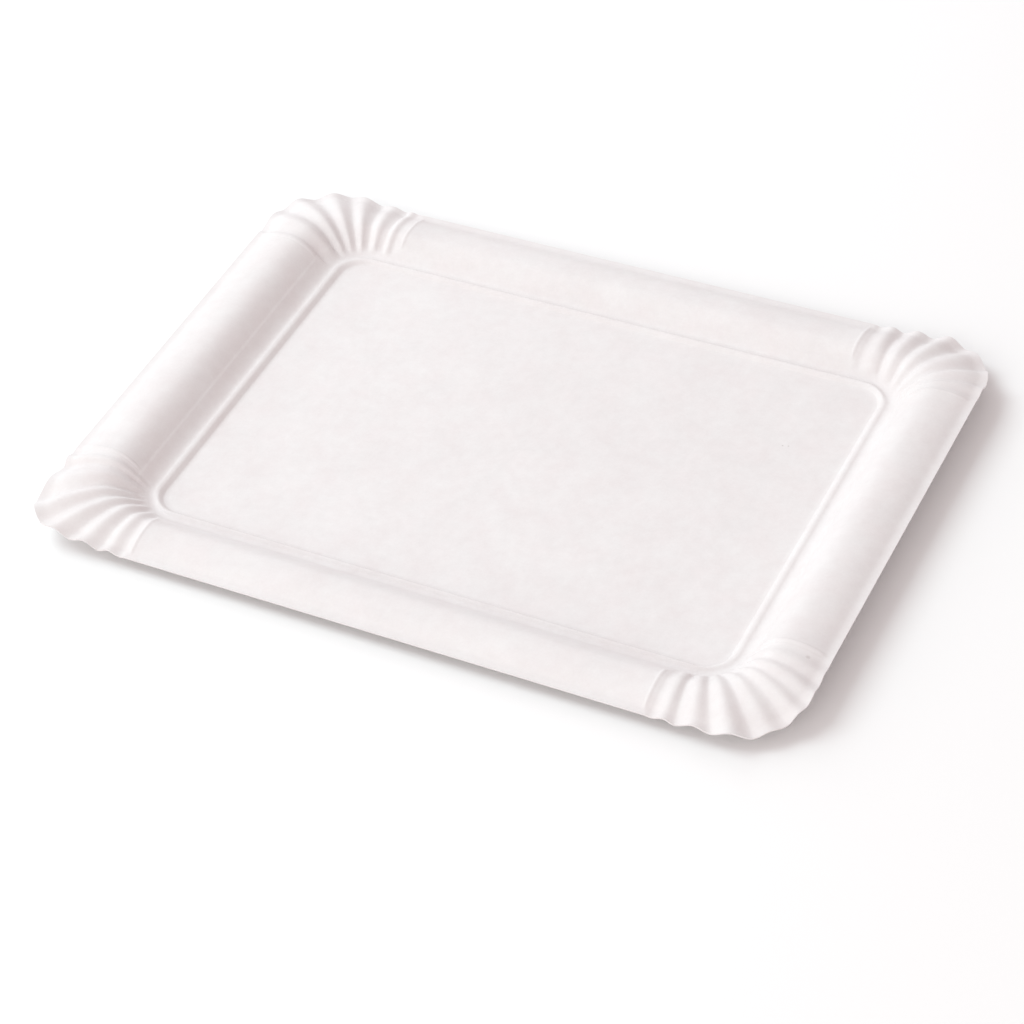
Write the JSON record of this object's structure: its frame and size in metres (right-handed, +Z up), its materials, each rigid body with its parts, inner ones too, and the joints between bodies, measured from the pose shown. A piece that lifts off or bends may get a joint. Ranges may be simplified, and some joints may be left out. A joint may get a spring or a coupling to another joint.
{
  "type": "rectangular paper plate",
  "caption": "Rectangular disposable serving plate pressed from one sheet of white paperboard, with a flat floor, a raised rim and fluted corners.",
  "frame": {"origin": "under the middle of the flat floor, on the surface that the plate rests on", "axes": "+X along the plate's length, +Y across its width, +Z up out of the plate"},
  "size_m": [0.2301, 0.165, 0.0113],
  "materials": {
    "paperboard": "matte, uncoated"
  },
  "bodies": {
    "root": {"plate": "paperboard"}
  },
  "joints": []
}
